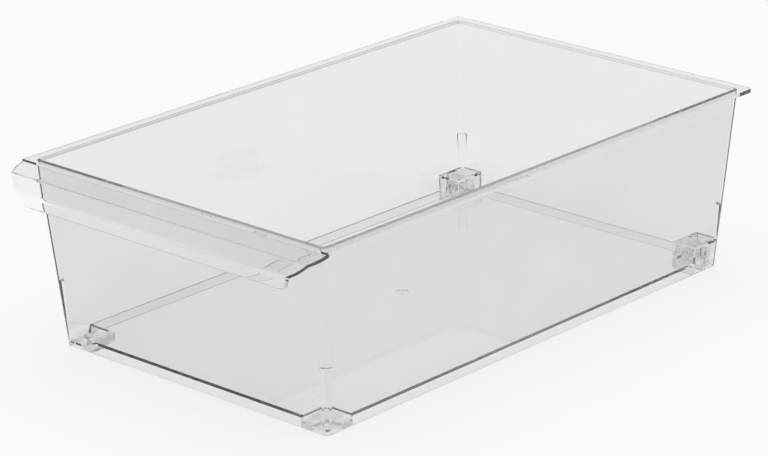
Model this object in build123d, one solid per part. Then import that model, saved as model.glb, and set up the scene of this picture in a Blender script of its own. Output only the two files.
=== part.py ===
"""Clear refrigerator drawer: an open moulded bin with a curled handle in front and two rollers behind.

Millimetres. +X is the drawer's right, +Y its back, +Z up. The origin is on the shelf, under the middle of
the drawer's bounding box, so z = 0 is where the front feet and the rollers stand.
"""
from build123d import *
import os
from math import cos, radians, sin, tan

# ---- overall size ----
OVERALL_WIDTH = 220.6       # over the side rims
OVERALL_DEPTH = 379.1       # from the nose of the handle to the rear rim
OVERALL_HEIGHT = 108.6      # from the shelf to the top of the rim

# ---- walls, floor and the skirt below it ----
WALL = 2.0                  # side, front and rear walls
FLOOR_THICKNESS = 2.0
FLOOR_UNDERSIDE = 5.9       # height of the floor's lower face above the shelf
SKIRT_LIFT = 0.5            # gap between the shelf and the lower edge of the walls
SIDE_DRAFT = 4.6            # degrees that each side wall leans out towards the rim
FRONT_DRAFT = 6.0
REAR_DRAFT = 2.6
CORNER_RADIUS = 4.0         # outside radius of the upright corners

# ---- the rim ----
RIM_THICKNESS = 2.3
RIM_SIDE = 6.8              # from the inner edge to the outer edge, wall included
RIM_REAR = 7.4
RIM_FRONT = 5.5             # from the inner edge to the bend where the handle starts
RIM_CORNER_RADIUS = 2.5     # rear corners of the rim, seen from above

# ---- the handle, three flats with a rounded crease between each two ----
BEND_STEP = 1.2             # height of the rim's front edge above the handle
HANDLE_THICKNESS = 2.2      # at the bend
HANDLE_EDGE_THICKNESS = 1.4
UPPER_FLAT = 11.4           # length from the bend to the first crease
UPPER_SLOPE = 14.2          # degrees below level
MIDDLE_FLAT = 9.9
MIDDLE_SLOPE = 49.1
LOWER_FLAT = 9.1
LOWER_SLOPE = 109.8         # past upright, so the lower edge turns in
UPPER_CREASE_RADIUS = 3.4   # outside radius
LOWER_CREASE_RADIUS = 3.4
HANDLE_EDGE_RADIUS = 0.6    # rounding of the lower edge
HANDLE_CORNER_WIDTH = 23.0  # from each end to where the lower edge starts to round up to the bend

# ---- corner posts, whose flat tops hold up a second drawer nested in this one ----
POST_TOP = 39.0             # height above the shelf
FRONT_POST_BOTTOM = 16.5
POST_LEG_TOP = 4.3          # along each wall
POST_LEG_BOTTOM = 2.2

# ---- rollers and the pins that they turn on ----
ROLLER_DIAMETER = 14.6
ROLLER_WIDTH = 10.0
PIN_DIAMETER = 3.0
PIN_CHAMFER = 0.3
ROLLER_RUNNING_GAP = 0.06   # radial, between the pin and the roller's bore
ROLLER_END_GAP = 0.3        # between the roller and each cheek
GROOVE_COUNT = 4
GROOVE_WIDTH = 0.9          # at the tread
GROOVE_FLOOR_WIDTH = 0.45
GROOVE_DEPTH = 0.5
HUB_RADIUS = 3.2
TREAD_THICKNESS = 2.0       # ring left outside the dished end faces
DISH_DEPTH = 0.8

# ---- roller wells in the rear corners ----
WELL_WALL = 2.0
WELL_TOP_GAP = 0.9          # between the roller and the well's ceiling
WELL_END_GAP = 2.4          # between the roller and the walls in front of it and behind it
CHEEK = 1.0                 # thickness of the pads that carry the pin, at the pin's height
CHEEK_WIDTH = 8.0
CHEEK_LIFT = 1.6            # height of the pads' lower ends above the shelf
PIN_SEAT_GAP = 0.02         # radial, between the pin and its seat
PIN_END_GAP = 0.1           # between the pin's ends and the walls behind the pads
SNAP_NECK = 2.6             # width of the slot below the seat, narrower than the pin
SNAP_MOUTH = 3.8            # width of the slot at its lower end
SNAP_RUN_OUT = 1.0          # how far the slot's cut reaches below the pads

# ---- foot wells in the front corners ----
FOOT_WELL_WIDTH = 15.6      # inside, from the side wall, at floor height
FOOT_WELL_DEPTH = 16.9      # inside, from the front wall, at floor height
FOOT_WELL_WALL = 2.0
FOOT_WELL_LEAN = 1.8        # how far each inner side of the pocket leans over its height
FOOT_PLATE = 1.3
FOOT_PLATE_UNDERSIDE = 2.1
FOOT_RIM = 5.0              # width of the two strips that the foot stands on

# ---- the gate mark in the middle of the floor ----
GATE_RADIUS = 4.0
GATE_RECESS = 0.4
GATE_NUB_RADIUS = 0.9
GATE_NUB_HEIGHT = 0.9

OVERSHOOT = 4.0             # how far cutting shapes reach past what they cut

# ---- sizes that follow ----
TOP = OVERALL_HEIGHT
FLOOR_TOP = FLOOR_UNDERSIDE + FLOOR_THICKNESS


def along(point, slope, distance):
    """The (y, z) point a distance in front of another, on a line that falls by a slope in degrees."""
    return (point[0] - distance * cos(radians(slope)), point[1] - distance * sin(radians(slope)))


def crease_reach():
    """How far the handle's nose stands in front of the bend where the handle starts."""
    upper_crease = along((0, 0), UPPER_SLOPE, UPPER_FLAT)
    lower_crease = along(upper_crease, MIDDLE_SLOPE, MIDDLE_FLAT)
    half_turn = radians((LOWER_SLOPE - MIDDLE_SLOPE) / 2)
    middle = radians((LOWER_SLOPE + MIDDLE_SLOPE) / 2)
    centre_y = lower_crease[0] + LOWER_CREASE_RADIUS * sin(middle) / cos(half_turn)
    return LOWER_CREASE_RADIUS - centre_y


BEND_Y = -OVERALL_DEPTH / 2 + crease_reach()
REAR_Y = OVERALL_DEPTH / 2
WALL_X_TOP = OVERALL_WIDTH / 2 - RIM_SIDE + WALL
WALL_FRONT_TOP = BEND_Y + RIM_FRONT - WALL
WALL_REAR_TOP = REAR_Y - RIM_REAR + WALL
ROLLER_RADIUS = ROLLER_DIAMETER / 2
PIN_RADIUS = PIN_DIAMETER / 2
AXLE_Z = ROLLER_RADIUS


def wall_x(z):
    """Half width over the side walls at height z."""
    return WALL_X_TOP - (TOP - z) * tan(radians(SIDE_DRAFT))


def wall_front(z):
    """Y of the front wall's outer face at height z."""
    return WALL_FRONT_TOP + (TOP - z) * tan(radians(FRONT_DRAFT))


def wall_rear(z):
    """Y of the rear wall's outer face at height z."""
    return WALL_REAR_TOP - (TOP - z) * tan(radians(REAR_DRAFT))


# Places in a rear corner, on the +X side. The side wall leans, so the pad on it is measured at the pin.
OUTER_CHEEK_FACE = wall_x(AXLE_Z) - WALL - CHEEK
ROLLER_RIGHT = OUTER_CHEEK_FACE - ROLLER_END_GAP
ROLLER_LEFT = ROLLER_RIGHT - ROLLER_WIDTH
INNER_CHEEK_FACE = ROLLER_LEFT - ROLLER_END_GAP
WELL_INSIDE_X = INNER_CHEEK_FACE - CHEEK
WELL_OUTSIDE_X = WELL_INSIDE_X - WELL_WALL
AXLE_Y = wall_rear(SKIRT_LIFT) - WALL - WELL_END_GAP - ROLLER_RADIUS
WELL_INSIDE_Y = AXLE_Y - ROLLER_RADIUS - WELL_END_GAP
WELL_OUTSIDE_Y = WELL_INSIDE_Y - WELL_WALL
WELL_CEILING = AXLE_Z + ROLLER_RADIUS + WELL_TOP_GAP
WELL_TOP = WELL_CEILING + WELL_WALL
PIN_LEFT = WELL_INSIDE_X + PIN_END_GAP
PIN_RIGHT = wall_x(AXLE_Z - PIN_RADIUS) - WALL - PIN_END_GAP

# Places in a front corner, on the +X side.
FOOT_WELL_X = wall_x(FLOOR_TOP) - WALL - FOOT_WELL_WIDTH
FOOT_WELL_Y = wall_front(FLOOR_TOP) + WALL + FOOT_WELL_DEPTH
FOOT_PLATE_TOP = FOOT_PLATE_UNDERSIDE + FOOT_PLATE


def section(z, inset):
    """The bin's plan at height z, a rounded rectangle drawn in by inset from the outer wall faces."""
    width = 2 * (wall_x(z) - inset)
    front = wall_front(z) + inset
    rear = wall_rear(z) - inset
    plan = RectangleRounded(width, rear - front, CORNER_RADIUS - inset)
    return Pos(0, (front + rear) / 2, z) * plan


def tapered(z_low, z_high, inset=0.0):
    """A solid that fills the bin's plan between two heights."""
    return loft([section(z_low, inset), section(z_high, inset)], ruled=True)


def block(x0, x1, y0, y1, z0, z1):
    """An upright box between two corners."""
    box = Box(x1 - x0, y1 - y0, z1 - z0, align=(Align.MIN, Align.MIN, Align.MIN))
    return Pos(x0, y0, z0) * box


def both_sides(shape):
    """A shape and its mirror image across the drawer's middle."""
    return [shape, mirror(shape, about=Plane.YZ)]


def shell():
    """Walls, floor and the skirt below it."""
    body = tapered(SKIRT_LIFT, TOP)
    body -= tapered(FLOOR_TOP, TOP + OVERSHOOT, WALL)
    body -= tapered(SKIRT_LIFT - OVERSHOOT, FLOOR_UNDERSIDE, WALL)
    return body


def rim():
    """The flat rim round the top; its front edge is the bend where the handle starts."""
    plate = Rectangle(OVERALL_WIDTH, REAR_Y - BEND_Y)
    plate = Pos(0, (REAR_Y + BEND_Y) / 2, TOP - RIM_THICKNESS) * plate
    plate = fillet(plate.vertices().sort_by(Axis.Y)[-2:], RIM_CORNER_RADIUS)
    ring = extrude(plate, RIM_THICKNESS)
    return ring - tapered(TOP - RIM_THICKNESS - OVERSHOOT, TOP + OVERSHOOT, WALL)


def handle_thickness(run):
    """The handle's thickness at a distance along it from the bend."""
    share = run / (UPPER_FLAT + MIDDLE_FLAT + LOWER_FLAT)
    return HANDLE_THICKNESS + (HANDLE_EDGE_THICKNESS - HANDLE_THICKNESS) * share


def inner_corner(point, slope_before, slope_after, thickness):
    """The corner of the handle's inner side that lies across the sheet from an outer corner."""
    middle = radians((slope_before + slope_after) / 2)
    reach = thickness / cos(radians((slope_after - slope_before) / 2))
    return (point[0] + reach * sin(middle), point[1] - reach * cos(middle))


def handle_corners():
    """The outer side's corners as (y, z): the bend, the two creases and the lower edge."""
    bend = (BEND_Y, TOP - BEND_STEP)
    upper_crease = along(bend, UPPER_SLOPE, UPPER_FLAT)
    lower_crease = along(upper_crease, MIDDLE_SLOPE, MIDDLE_FLAT)
    return bend, upper_crease, lower_crease, along(lower_crease, LOWER_SLOPE, LOWER_FLAT)


def handle_section():
    """The handle's cross-section, standing in the YZ plane, with a stub that reaches into the rim."""
    bend, upper_crease, lower_crease, edge = handle_corners()
    upper_thickness = handle_thickness(UPPER_FLAT)
    lower_thickness = handle_thickness(UPPER_FLAT + MIDDLE_FLAT)
    inner_bend = inner_corner(bend, 0, UPPER_SLOPE, HANDLE_THICKNESS)
    inner_upper = inner_corner(upper_crease, UPPER_SLOPE, MIDDLE_SLOPE, upper_thickness)
    inner_lower = inner_corner(lower_crease, MIDDLE_SLOPE, LOWER_SLOPE, lower_thickness)
    inner_edge = inner_corner(edge, LOWER_SLOPE, LOWER_SLOPE, HANDLE_EDGE_THICKNESS)
    root = BEND_Y + RIM_FRONT - WALL / 2
    outer = FilletPolyline(bend, upper_crease, lower_crease, edge,
                           radius=[UPPER_CREASE_RADIUS, LOWER_CREASE_RADIUS])
    inner_radii = [LOWER_CREASE_RADIUS - lower_thickness, UPPER_CREASE_RADIUS - upper_thickness]
    inner = FilletPolyline(inner_edge, inner_lower, inner_upper, inner_bend, radius=inner_radii)
    ends = [Line(edge, inner_edge), Line(inner_bend, (root, TOP - RIM_THICKNESS)),
            Line((root, TOP - RIM_THICKNESS), (root, bend[1])), Line((root, bend[1]), bend)]
    face = make_face([*outer.edges(), *inner.edges(), *ends])
    face = fillet(face.vertices().sort_by(Axis.Y)[:2], HANDLE_EDGE_RADIUS)
    return Plane.YZ * face


def handle_outline():
    """A thick plate, square to the sheet at its upper crease, that rounds the handle's ends."""
    slope = radians((UPPER_SLOPE + MIDDLE_SLOPE) / 2)
    bend, *_, edge = handle_corners()
    drop = (bend[0] - edge[0]) * cos(slope) + (bend[1] - edge[1]) * sin(slope)
    straight_half = OVERALL_WIDTH / 2 - HANDLE_CORNER_WIDTH
    outline = Rectangle(OVERALL_WIDTH, drop, align=(Align.CENTER, Align.MAX))
    outline += Rectangle(2 * straight_half, drop + OVERSHOOT, align=(Align.CENTER, Align.MIN))
    for side in (-1, 1):
        outline += Pos(side * straight_half, 0) * Ellipse(HANDLE_CORNER_WIDTH, drop)
    across = Plane((0, *bend), x_dir=(1, 0, 0), z_dir=(0, sin(slope), -cos(slope)))
    return extrude(across * outline, OVERALL_DEPTH, both=True)


def handle():
    """The curled lip in front."""
    sheet = extrude(handle_section(), OVERALL_WIDTH / 2, both=True)
    return sheet & handle_outline()


def corner_post(at_rear):
    """A three-sided post in the +X corner, at the front or at the rear."""
    side = 1 if at_rear else -1
    bottom = WELL_TOP - WELL_WALL / 2 if at_rear else FRONT_POST_BOTTOM

    def plan(z, leg):
        x = wall_x(z) - WALL / 2
        y = wall_rear(z) - WALL / 2 if at_rear else wall_front(z) + WALL / 2
        reach = leg + WALL
        triangle = make_face(Polyline((x, y), (x - reach, y), (x, y - side * reach), close=True))
        return Pos(0, 0, z) * triangle

    post = loft([plan(bottom, POST_LEG_BOTTOM), plan(POST_TOP, POST_LEG_TOP)], ruled=True)
    return post & tapered(bottom, POST_TOP, WALL / 2)


def roller_well():
    """The raised box over a roller, still solid, in the +X rear corner."""
    box = block(WELL_OUTSIDE_X, wall_x(TOP), WELL_OUTSIDE_Y, REAR_Y, SKIRT_LIFT, WELL_TOP)
    return box & tapered(SKIRT_LIFT, WELL_TOP)


def roller_space():
    """The room inside a roller well, open below."""
    box = block(WELL_INSIDE_X, wall_x(TOP), WELL_INSIDE_Y, REAR_Y, SKIRT_LIFT - OVERSHOOT, WELL_CEILING)
    return box & tapered(SKIRT_LIFT - OVERSHOOT, WELL_CEILING, WALL)


def pin_slot(x0, x1):
    """The seat for a pin and the slot that the pin snaps up through."""
    seat_radius = PIN_RADIUS + PIN_SEAT_GAP
    seat = Cylinder(seat_radius, x1 - x0, rotation=(0, 90, 0), align=(Align.CENTER, Align.CENTER, Align.MIN))
    seat = Pos(x0, AXLE_Y, AXLE_Z) * seat
    low = CHEEK_LIFT - SNAP_RUN_OUT
    flare = CHEEK_LIFT + (SNAP_MOUTH - SNAP_NECK)
    neck = SNAP_NECK / 2
    mouth = SNAP_MOUTH / 2
    profile = make_face(Plane.YZ * Polyline(
        (AXLE_Y - neck, AXLE_Z), (AXLE_Y - neck, flare), (AXLE_Y - mouth, low),
        (AXLE_Y + mouth, low), (AXLE_Y + neck, flare), (AXLE_Y + neck, AXLE_Z), close=True))
    slot = Pos(x0, 0, 0) * extrude(profile, x1 - x0, dir=(1, 0, 0))
    return seat + slot


def cheeks():
    """The two pads that carry a pin, one on the well's inner wall and one on the side wall."""
    front = AXLE_Y - CHEEK_WIDTH / 2
    rear = AXLE_Y + CHEEK_WIDTH / 2
    top = WELL_CEILING + WELL_WALL / 2
    inner = block(WELL_INSIDE_X - WELL_WALL / 2, INNER_CHEEK_FACE, front, rear, CHEEK_LIFT, top)
    outer = block(OUTER_CHEEK_FACE, wall_x(TOP), front, rear, CHEEK_LIFT, top)
    outer &= tapered(CHEEK_LIFT, top, WALL / 2)
    inner -= pin_slot(WELL_INSIDE_X, INNER_CHEEK_FACE + OVERSHOOT)
    outer -= pin_slot(OUTER_CHEEK_FACE - OVERSHOOT, wall_x(TOP)) & tapered(0, top, WALL)
    return [inner, outer]


def foot():
    """The sunk foot in the +X front corner, still solid; it stands a little lower than the walls."""
    inner_x = FOOT_WELL_X - FOOT_WELL_WALL
    inner_y = FOOT_WELL_Y + FOOT_WELL_WALL
    box = block(inner_x, wall_x(TOP), -OVERALL_DEPTH / 2, inner_y, 0, FLOOR_TOP)
    return box & tapered(0, FLOOR_TOP, WALL / 2)


def foot_pocket():
    """The pocket above the foot plate, with its two inner sides leaning."""
    far_x = wall_x(TOP)
    far_y = -OVERALL_DEPTH / 2

    def plan(z):
        lean = FOOT_WELL_LEAN * (FLOOR_TOP - z) / (FLOOR_TOP - FOOT_PLATE_TOP)
        corner = (FOOT_WELL_X + lean, FOOT_WELL_Y - lean)
        outline = Polyline(corner, (far_x, corner[1]), (far_x, far_y), (corner[0], far_y), close=True)
        return Pos(0, 0, z) * make_face(outline)

    rise = FLOOR_TOP + OVERSHOOT
    pocket = loft([plan(FOOT_PLATE_TOP), plan(rise)], ruled=True)
    return pocket & tapered(FOOT_PLATE_TOP, rise, WALL)


def foot_recess():
    """The shallow recess under the foot plate, open to the shelf."""
    inner_x = FOOT_WELL_X - FOOT_WELL_WALL + FOOT_RIM + FOOT_WELL_LEAN
    inner_y = FOOT_WELL_Y + FOOT_WELL_WALL - FOOT_RIM - FOOT_WELL_LEAN
    box = block(inner_x, wall_x(TOP), -OVERALL_DEPTH / 2, inner_y, -OVERSHOOT, FOOT_PLATE_UNDERSIDE)
    return box & tapered(-OVERSHOOT, FOOT_PLATE_UNDERSIDE, WALL)


def gate_mark(body):
    """A shallow round recess under the floor's middle, with the nub where the moulding was filled."""
    middle_y = (wall_front(FLOOR_TOP) + wall_rear(FLOOR_TOP)) / 2
    up = (Align.CENTER, Align.CENTER, Align.MIN)
    body -= Pos(0, middle_y, FLOOR_UNDERSIDE) * Cylinder(GATE_RADIUS, GATE_RECESS, align=up)
    nub = Cylinder(GATE_NUB_RADIUS, GATE_NUB_HEIGHT, align=up)
    return body + Pos(0, middle_y, FLOOR_UNDERSIDE + GATE_RECESS - GATE_NUB_HEIGHT) * nub


def bin_body():
    """The whole clear moulding."""
    body = shell() + rim() + handle()
    for solid in (roller_well(), foot()):
        for side in both_sides(solid):
            body += side
    for space in (roller_space(), foot_pocket(), foot_recess()):
        for side in both_sides(space):
            body -= side
    for solid in (corner_post(False), corner_post(True), *cheeks()):
        for side in both_sides(solid):
            body += side
    return gate_mark(body)


def roller():
    """A grooved roller with dished ends and a plain bore, in the +X rear corner."""
    bore = PIN_RADIUS + ROLLER_RUNNING_GAP
    dish_outer = ROLLER_RADIUS - TREAD_THICKNESS
    edge = GROOVE_DEPTH
    pitch = ROLLER_WIDTH / (GROOVE_COUNT + 1)
    outline = [(ROLLER_LEFT, bore), (ROLLER_LEFT, HUB_RADIUS), (ROLLER_LEFT + DISH_DEPTH, HUB_RADIUS),
               (ROLLER_LEFT + DISH_DEPTH, dish_outer), (ROLLER_LEFT, dish_outer),
               (ROLLER_LEFT, ROLLER_RADIUS - edge), (ROLLER_LEFT + edge, ROLLER_RADIUS)]
    for i in range(1, GROOVE_COUNT + 1):
        middle = ROLLER_LEFT + i * pitch
        low = ROLLER_RADIUS - GROOVE_DEPTH
        outline += [(middle - GROOVE_WIDTH / 2, ROLLER_RADIUS), (middle - GROOVE_FLOOR_WIDTH / 2, low),
                    (middle + GROOVE_FLOOR_WIDTH / 2, low), (middle + GROOVE_WIDTH / 2, ROLLER_RADIUS)]
    outline += [(ROLLER_RIGHT - edge, ROLLER_RADIUS), (ROLLER_RIGHT, ROLLER_RADIUS - edge),
                (ROLLER_RIGHT, dish_outer), (ROLLER_RIGHT - DISH_DEPTH, dish_outer),
                (ROLLER_RIGHT - DISH_DEPTH, HUB_RADIUS), (ROLLER_RIGHT, HUB_RADIUS), (ROLLER_RIGHT, bore)]
    half = make_face(Polyline(*outline, close=True))
    return Pos(0, AXLE_Y, AXLE_Z) * revolve(half, Axis.X, 360)


def axle_pin():
    """The pin that a roller turns on, snapped into the cheeks."""
    length = PIN_RIGHT - PIN_LEFT
    pin = Cylinder(PIN_RADIUS, length, rotation=(0, 90, 0), align=(Align.CENTER, Align.CENTER, Align.MIN))
    pin = chamfer(pin.edges().filter_by(GeomType.CIRCLE), PIN_CHAMFER)
    return Pos(PIN_LEFT, AXLE_Y, AXLE_Z) * pin


def write(node, shape):
    """One STEP file for each node."""
    export_step(shape, f"parts/{node}.step")


def main():
    os.makedirs("parts", exist_ok=True)
    write("bin_body", bin_body())
    for name, shape in (("roller", roller()), ("axle_pin", axle_pin())):
        right, left = both_sides(shape)
        write(f"right_{name}", right)
        write(f"left_{name}", left)


main()
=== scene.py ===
"""Clear refrigerator drawer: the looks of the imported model.

The file is laid out as a Blender add-on and run as a script.
"""
import math

import bmesh
import bpy
from bpy.props import FloatProperty, FloatVectorProperty, IntProperty, PointerProperty
from bpy.types import Operator, Panel, PropertyGroup
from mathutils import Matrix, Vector


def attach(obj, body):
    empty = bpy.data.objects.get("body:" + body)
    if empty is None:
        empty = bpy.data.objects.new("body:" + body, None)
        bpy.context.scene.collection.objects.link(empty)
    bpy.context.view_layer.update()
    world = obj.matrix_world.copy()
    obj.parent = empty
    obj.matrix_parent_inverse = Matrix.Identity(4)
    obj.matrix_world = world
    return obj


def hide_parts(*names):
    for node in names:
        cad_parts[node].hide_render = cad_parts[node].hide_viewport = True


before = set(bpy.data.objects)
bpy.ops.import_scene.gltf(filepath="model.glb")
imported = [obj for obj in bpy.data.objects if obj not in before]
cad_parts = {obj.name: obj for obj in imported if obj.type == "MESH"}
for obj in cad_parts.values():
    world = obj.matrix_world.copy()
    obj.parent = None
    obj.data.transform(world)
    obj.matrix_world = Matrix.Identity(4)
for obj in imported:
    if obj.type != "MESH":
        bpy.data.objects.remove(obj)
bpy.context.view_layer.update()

bl_info = {
    "name": "Clear refrigerator drawer",
    "version": (1, 0, 0),
    "blender": (4, 5, 0),
    "location": "3D View > Sidebar > Drawer",
    "description": "Clear moulded plastic, rollers and a pale studio for a packed drawer",
    "category": "Object",
}

ROLLERS = ("left_roller", "right_roller")
PINS = ("left_axle_pin", "right_axle_pin")

# How the copy of the bin's mesh is cleaned: points closer than MERGE_DISTANCE metres become one,
# triangles that meet flatter than FLAT_ANGLE become one face, and edges that turn by SHARP_ANGLE
# or more stay sharp. A weight of 50 is neutral, and at 100 the large faces rule the shading.
MERGE_DISTANCE = 0.000002
FLAT_ANGLE = math.radians(1.5)
SHARP_ANGLE = math.radians(32)
LARGE_FACE_WEIGHT = 100

# Where the lighter tint of painted light lies, in metres: the middle of the bin's floor above the
# shelf, how far above and below it the floor's two faces are allowed, and the place on Y where the
# handle starts.
FLOOR_MIDDLE = 0.0069
FLOOR_REACH = 0.00105
HANDLE_START = -0.1726

# Noise in the plastic's surface. A scale is in waves for each metre, and the ripple's own comes
# from the ripple size. The stops say where a pattern starts and where it is full.
RIPPLE_NOISE = {"Detail": 1.0, "Roughness": 0.3}
CLOUD_NOISE = {"Scale": 22.0, "Detail": 3.0, "Roughness": 0.6}
SCUFF_NOISE = {"Scale": 140.0, "Detail": 4.0, "Roughness": 0.65}
CLOUD_STOPS = ((0.40, 0.0), (0.70, 1.0))
SCUFF_STOPS = ((0.52, 0.0), (0.78, 1.0))

CLEAR = (1.0, 1.0, 1.0)
FULL = 1.0

# Sockets of a Mix node that mixes colours, which share their names with the sockets for numbers.
MIX_SHARE = 0
MIX_FIRST_COLOUR = 6
MIX_SECOND_COLOUR = 7
MIX_COLOUR_OUT = 2

FLOOR_ROUGHNESS = 0.9

# Heights in the room, 0 at the horizon and 1 overhead, between which its tone changes.
HORIZON_END = 0.30
CEILING_START = 0.50

SENSOR_WIDTH = 36.0      # millimetres
CAMERA_REACH = 100.0     # metres


# ---- sizes and colours that a user would change ----

class DrawerPlastic(PropertyGroup):
    """The clear plastic of the bin, the rollers and the pins."""

    wall_tint: FloatVectorProperty(
        name="Wall tint", description="Share of each colour that a wall's surface lets through",
        subtype="COLOR", size=3, min=0.0, max=1.0, default=(0.872, 0.868, 0.870))
    # Painted light: a lighter tint for the bin's floor and handle, which brightens what is seen
    # through them and offsets the shade beneath the bin's floor.
    painted_light_tint: FloatVectorProperty(
        name="Painted light tint",
        description="Share of each colour that the bin's floor and handle let through at a surface",
        subtype="COLOR", size=3, min=0.0, max=1.0, default=(0.985, 0.980, 0.981))
    tint_drift: FloatProperty(
        name="Tint drift", description="How far the tint wanders towards clear from place to place",
        subtype="FACTOR", min=0.0, max=1.0, default=0.15)
    roller_tint: FloatVectorProperty(
        name="Roller tint", description="Share of each colour that a roller's surface lets through",
        subtype="COLOR", size=3, min=0.0, max=1.0, default=(0.965, 0.962, 0.965))
    bending: FloatProperty(
        name="Index of refraction", description="How strongly the plastic bends light",
        min=1.3, max=1.8, default=1.55)
    darkening: FloatProperty(
        name="Darkening",
        description="How strongly the plastic absorbs light, for each metre of its thickness",
        min=0.0, max=100.0, default=6.7)
    body_roughness: FloatProperty(
        name="Polish", description="Roughness of the clean polished walls",
        subtype="FACTOR", min=0.0, max=1.0, default=0.0)
    scuff_roughness: FloatProperty(
        name="Scuffs", description="Roughness added where the walls are scuffed from handling",
        subtype="FACTOR", min=0.0, max=1.0, default=0.03)
    ripple_height: FloatProperty(
        name="Ripple height", description="Height of the slow waves that moulding leaves in a wall",
        subtype="DISTANCE", unit="LENGTH", min=0.0, max=0.001, default=0.00002)
    ripple_size: FloatProperty(
        name="Ripple size", description="Distance from one wave in the walls to the next",
        subtype="DISTANCE", unit="LENGTH", min=0.001, max=0.2, default=0.06)


class DrawerStudio(PropertyGroup):
    """Floor, lights and camera."""

    azimuth: FloatProperty(
        name="Azimuth", description="Camera's direction, 0 in front of the drawer, 90 on its right",
        subtype="ANGLE", unit="ROTATION", default=math.radians(41.39))
    elevation: FloatProperty(
        name="Elevation", description="Camera's height above the horizon as an angle",
        subtype="ANGLE", unit="ROTATION", default=math.radians(19.90))
    lens: FloatProperty(
        name="Lens", description="Focal length on a 36 mm sensor",
        subtype="DISTANCE_CAMERA", unit="CAMERA", min=10.0, max=500.0, default=161.75)
    camera_place: FloatVectorProperty(
        name="Camera place", description="Where the camera stands",
        subtype="XYZ", unit="LENGTH", size=3, default=(1.1961, -1.3611, 0.7045))
    floor_size: FloatProperty(
        name="Floor size", description="Width and depth of the floor",
        subtype="DISTANCE", unit="LENGTH", min=1.0, max=50.0, default=12.0)
    floor_gap: FloatProperty(
        name="Floor gap", description="Air left between the drawer's feet and the floor",
        subtype="DISTANCE", unit="LENGTH", min=0.0, max=0.01, default=0.0002)
    floor_glow: FloatProperty(
        name="Floor glow", description="Light that the floor, a lit table, gives off by itself",
        min=0.0, max=10.0, default=0.78)
    floor_tone: FloatProperty(
        name="Floor tone", description="Share of the light from above that the floor sends back",
        subtype="FACTOR", min=0.0, max=1.0, default=0.21)
    horizon_tone: FloatProperty(
        name="Horizon tone", description="Brightness of the room near the horizon",
        min=0.0, max=10.0, default=0.88)
    room_tone: FloatProperty(
        name="Room tone", description="Brightness of the room's upper walls and ceiling",
        min=0.0, max=10.0, default=0.45)
    softbox_size: FloatProperty(
        name="Softbox size", description="Width and depth of the light overhead",
        subtype="DISTANCE", unit="LENGTH", min=0.1, max=10.0, default=2.4)
    softbox_height: FloatProperty(
        name="Softbox height", description="Height of the light above the floor",
        subtype="DISTANCE", unit="LENGTH", min=0.5, max=10.0, default=2.2)
    softbox_power: FloatProperty(
        name="Softbox power", description="Power of the light overhead",
        subtype="POWER", unit="POWER", min=0.0, max=1000.0, default=25.0)
    path_length: IntProperty(
        name="Path length", description="How often light may bounce inside the clear walls",
        min=4, max=256, default=96)


# ---- shader maths and node helpers ----

def grey(tone):
    """An opaque grey, from 0 for black to 1 for white."""
    return (tone, tone, tone, 1.0)


class Wire:
    """An output socket in a node tree, which Python's arithmetic adds Math nodes to."""

    def __init__(self, tree, socket=None):
        self.tree = tree
        self.socket = socket

    def node(self, kind, settings=None, inputs=None, output=0):
        """Adds a node: its settings are set first, then the values or links of its sockets."""
        made = self.tree.nodes.new(kind)
        for name, value in (settings or {}).items():
            if name == "stops":
                self.set_stops(made.color_ramp, value)
            else:
                setattr(made, name, value)
        for name, value in (inputs or {}).items():
            if isinstance(value, Wire):
                self.tree.links.new(value.socket, made.inputs[name])
            else:
                made.inputs[name].default_value = value
        return Wire(self.tree, made.outputs[output]) if made.outputs else None

    @staticmethod
    def set_stops(ramp, stops):
        """Gives a colour ramp its stops, as pairs of a place and a tone."""
        while len(ramp.elements) < len(stops):
            ramp.elements.new(1.0)
        for element, (place, tone) in zip(ramp.elements, stops):
            element.position = place
            element.color = grey(tone)

    def maths(self, operation, *values):
        """Adds a Math node that works on the values, in order."""
        return self.node("ShaderNodeMath", {"operation": operation}, dict(enumerate(values)))

    def __add__(self, other):
        return self.maths("ADD", self, other)

    def __radd__(self, other):
        return self.maths("ADD", other, self)

    def __mul__(self, other):
        return self.maths("MULTIPLY", self, other)

    def __rmul__(self, other):
        return self.maths("MULTIPLY", other, self)


def new_material(name):
    """An empty material and a wire to build its nodes with."""
    material = bpy.data.materials.new(name)
    material.use_nodes = True
    material.node_tree.nodes.clear()
    return material, Wire(material.node_tree)


def mix_colour(wire, share, first, second):
    """A colour that goes from first to second as share goes from 0 to 1."""
    first, second = (c if isinstance(c, Wire) else (*c, 1.0) for c in (first, second))
    return wire.node(
        "ShaderNodeMix", {"data_type": "RGBA"},
        {MIX_SHARE: share, MIX_FIRST_COLOUR: first, MIX_SECOND_COLOUR: second},
        output=MIX_COLOUR_OUT)


def bin_tint(plastic):
    """The bin's tint, lighter in its floor and its handle than in its walls: painted light that
    brightens what is seen through them and, under the floor, offsets the shade beneath the bin.
    """
    def tint_at(wire, place):
        height = wire.node("ShaderNodeSeparateXYZ", inputs={"Vector": place}, output="Z")
        depth = wire.node("ShaderNodeSeparateXYZ", inputs={"Vector": place}, output="Y")
        # Painted light: the floor and the handle take the lighter tint, so that what is seen
        # through them looks brighter.
        floor = wire.maths("COMPARE", height, FLOOR_MIDDLE, FLOOR_REACH)
        handle = wire.maths("LESS_THAN", depth, HANDLE_START)
        painted_light_zone = wire.maths("MAXIMUM", floor, handle)
        return mix_colour(wire, painted_light_zone, plastic.wall_tint, plastic.painted_light_tint)
    return tint_at


def even_tint(tint):
    """A tint that is the same all over a piece, before it drifts."""
    return lambda wire, place: tint


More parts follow.
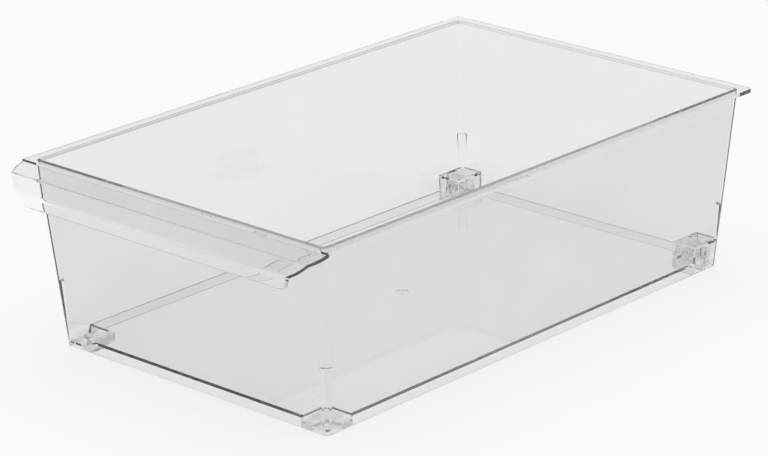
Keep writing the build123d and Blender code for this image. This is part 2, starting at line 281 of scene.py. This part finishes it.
def clear_plastic(name, plastic, tint_at):
    """Clear moulded plastic: slow ripples in its faces, fine scuffs, and a drifting tint."""
    material, wire = new_material(name)
    place = wire.node("ShaderNodeTexCoord", output="Object")
    ripple = wire.node("ShaderNodeTexNoise", inputs={
        "Vector": place, "Scale": 1.0 / plastic.ripple_size, **RIPPLE_NOISE})
    cloud = wire.node("ShaderNodeTexNoise", inputs={"Vector": place, **CLOUD_NOISE})
    scuff = wire.node("ShaderNodeTexNoise", inputs={"Vector": place, **SCUFF_NOISE})
    worn = wire.node("ShaderNodeValToRGB", {"stops": SCUFF_STOPS}, {"Fac": scuff})
    patch = wire.node("ShaderNodeValToRGB", {"stops": CLOUD_STOPS}, {"Fac": cloud})
    colour = mix_colour(wire, patch * plastic.tint_drift, tint_at(wire, place), CLEAR)
    bump = wire.node("ShaderNodeBump", inputs={
        "Strength": FULL, "Distance": plastic.ripple_height, "Height": ripple})
    shader = wire.node("ShaderNodeBsdfPrincipled", inputs={
        "Base Color": colour,
        "Roughness": plastic.body_roughness + worn * patch * plastic.scuff_roughness,
        "IOR": plastic.bending,
        "Transmission Weight": FULL,
        "Normal": bump})
    depth = wire.node("ShaderNodeVolumeAbsorption", inputs={
        "Color": grey(0.0), "Density": plastic.darkening})
    wire.node("ShaderNodeOutputMaterial", inputs={"Surface": shader, "Volume": depth})
    return material


def smooth_copy(node, name):
    """A copy of a CAD node, merged from its loose triangles, with its curved faces smooth."""
    piece = bpy.data.objects.new(name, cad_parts[node].data.copy())
    bpy.context.scene.collection.objects.link(piece)
    shape = bmesh.new()
    shape.from_mesh(piece.data)
    bmesh.ops.remove_doubles(shape, verts=shape.verts, dist=MERGE_DISTANCE)
    bmesh.ops.dissolve_limit(
        shape, angle_limit=FLAT_ANGLE, verts=shape.verts, edges=shape.edges)
    for face in shape.faces:
        face.smooth = True
    for edge in shape.edges:
        edge.smooth = edge.calc_face_angle(math.pi) < SHARP_ANGLE
    shape.to_mesh(piece.data)
    shape.free()
    piece.data.name = name
    weigh = piece.modifiers.new("flat_faces_stay_flat", "WEIGHTED_NORMAL")
    weigh.keep_sharp = True
    weigh.weight = LARGE_FACE_WEIGHT
    return piece


def finish_piece(piece, material):
    """Gives a piece one material."""
    piece.data.materials.clear()
    piece.data.materials.append(material)


# ---- operators ----

class DRAWER_OT_stage(Operator):
    """Lay the pale floor, light it softly and set the camera"""

    bl_idname = "drawer.stage"
    bl_label = "Set the stage"

    def execute(self, context):
        studio = context.scene.drawer_studio
        self.make_floor(context, studio)
        self.make_room(context, studio)
        self.make_softbox(context, studio)
        self.make_camera(context, studio)
        context.scene.view_settings.view_transform = "Standard"
        context.scene.cycles.max_bounces = studio.path_length
        context.scene.cycles.glossy_bounces = studio.path_length
        context.scene.cycles.transmission_bounces = studio.path_length
        return {"FINISHED"}

    def make_floor(self, context, studio):
        mesh = bpy.data.meshes.new("studio_floor")
        plane = bmesh.new()
        bmesh.ops.create_grid(plane, x_segments=1, y_segments=1, size=studio.floor_size / 2)
        bmesh.ops.translate(plane, verts=plane.verts, vec=(0.0, 0.0, -studio.floor_gap))
        plane.to_mesh(mesh)
        plane.free()
        floor = bpy.data.objects.new("studio_floor", mesh)
        context.scene.collection.objects.link(floor)
        material, wire = new_material("pale_floor")
        shader = wire.node("ShaderNodeBsdfPrincipled", inputs={
            "Base Color": grey(studio.floor_tone),
            "Roughness": FLOOR_ROUGHNESS,
            "Specular IOR Level": 0.0,
            "Emission Color": grey(1.0),
            "Emission Strength": studio.floor_glow})
        wire.node("ShaderNodeOutputMaterial", inputs={"Surface": shader})
        finish_piece(floor, material)

    def make_room(self, context, studio):
        world = bpy.data.worlds.new("studio_room")
        context.scene.world = world
        world.use_nodes = True
        world.node_tree.nodes.clear()
        wire = Wire(world.node_tree)
        direction = wire.node("ShaderNodeTexCoord", output="Generated")
        height = wire.node("ShaderNodeSeparateXYZ", inputs={"Vector": direction}, output="Z")
        low, high = studio.horizon_tone, studio.room_tone
        stops = ((0.0, low), (HORIZON_END, low), (CEILING_START, high), (1.0, high))
        tone = wire.node("ShaderNodeValToRGB", {"stops": stops}, {"Fac": height})
        background = wire.node("ShaderNodeBackground", inputs={"Color": tone})
        wire.node("ShaderNodeOutputWorld", inputs={"Surface": background})

    def make_softbox(self, context, studio):
        light = bpy.data.lights.new("softbox", "AREA")
        light.shape = "SQUARE"
        light.size = studio.softbox_size
        light.energy = studio.softbox_power
        softbox = bpy.data.objects.new("softbox", light)
        softbox.location = (0.0, 0.0, studio.softbox_height)
        context.scene.collection.objects.link(softbox)

    def make_camera(self, context, studio):
        data = bpy.data.cameras.new("camera")
        data.lens = studio.lens
        data.sensor_width = SENSOR_WIDTH
        data.clip_end = CAMERA_REACH
        camera = bpy.data.objects.new("camera", data)
        context.scene.collection.objects.link(camera)
        level = math.cos(studio.elevation)
        look = Vector((
            -math.sin(studio.azimuth) * level,
            math.cos(studio.azimuth) * level,
            -math.sin(studio.elevation)))
        camera.location = studio.camera_place
        camera.rotation_euler = look.to_track_quat("-Z", "Y").to_euler()
        context.scene.camera = camera


class DRAWER_OT_bin(Operator):
    """Give the bin its clear moulded plastic"""

    bl_idname = "drawer.bin"
    bl_label = "Finish the bin"

    def execute(self, context):
        plastic = context.scene.drawer_plastic
        piece = smooth_copy("bin_body", "bin_moulding")
        finish_piece(piece, clear_plastic("bin_plastic", plastic, bin_tint(plastic)))
        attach(piece, "bin")
        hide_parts("bin_body")
        return {"FINISHED"}


class DRAWER_OT_rollers(Operator):
    """Give the rollers and their pins their clear plastic"""

    bl_idname = "drawer.rollers"
    bl_label = "Finish the rollers"

    def execute(self, context):
        plastic = context.scene.drawer_plastic
        tint = even_tint(plastic.roller_tint)
        for names, material_name in ((ROLLERS, "roller_plastic"), (PINS, "pin_plastic")):
            material = clear_plastic(material_name, plastic, tint)
            for name in names:
                finish_piece(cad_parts[name], material)
        return {"FINISHED"}


class DRAWER_PT_panel(Panel):
    """Sizes, colours and steps of the drawer"""

    bl_idname = "DRAWER_PT_panel"
    bl_label = "Refrigerator drawer"
    bl_space_type = "VIEW_3D"
    bl_region_type = "UI"
    bl_category = "Drawer"

    def draw(self, context):
        for group in (context.scene.drawer_studio, context.scene.drawer_plastic):
            column = self.layout.column()
            for name in group.__annotations__:
                column.prop(group, name)
        for step in STEPS:
            self.layout.operator(step.bl_idname)


STEPS = (DRAWER_OT_stage, DRAWER_OT_bin, DRAWER_OT_rollers)
CLASSES = (DrawerPlastic, DrawerStudio, *STEPS, DRAWER_PT_panel)


def register():
    for made in CLASSES:
        bpy.utils.register_class(made)
    bpy.types.Scene.drawer_plastic = PointerProperty(type=DrawerPlastic)
    bpy.types.Scene.drawer_studio = PointerProperty(type=DrawerStudio)


def unregister():
    del bpy.types.Scene.drawer_studio
    del bpy.types.Scene.drawer_plastic
    for made in reversed(CLASSES):
        bpy.utils.unregister_class(made)


def main():
    register()
    bpy.ops.drawer.stage()
    bpy.ops.drawer.bin()
    bpy.ops.drawer.rollers()


if __name__ == "__main__":
    main()
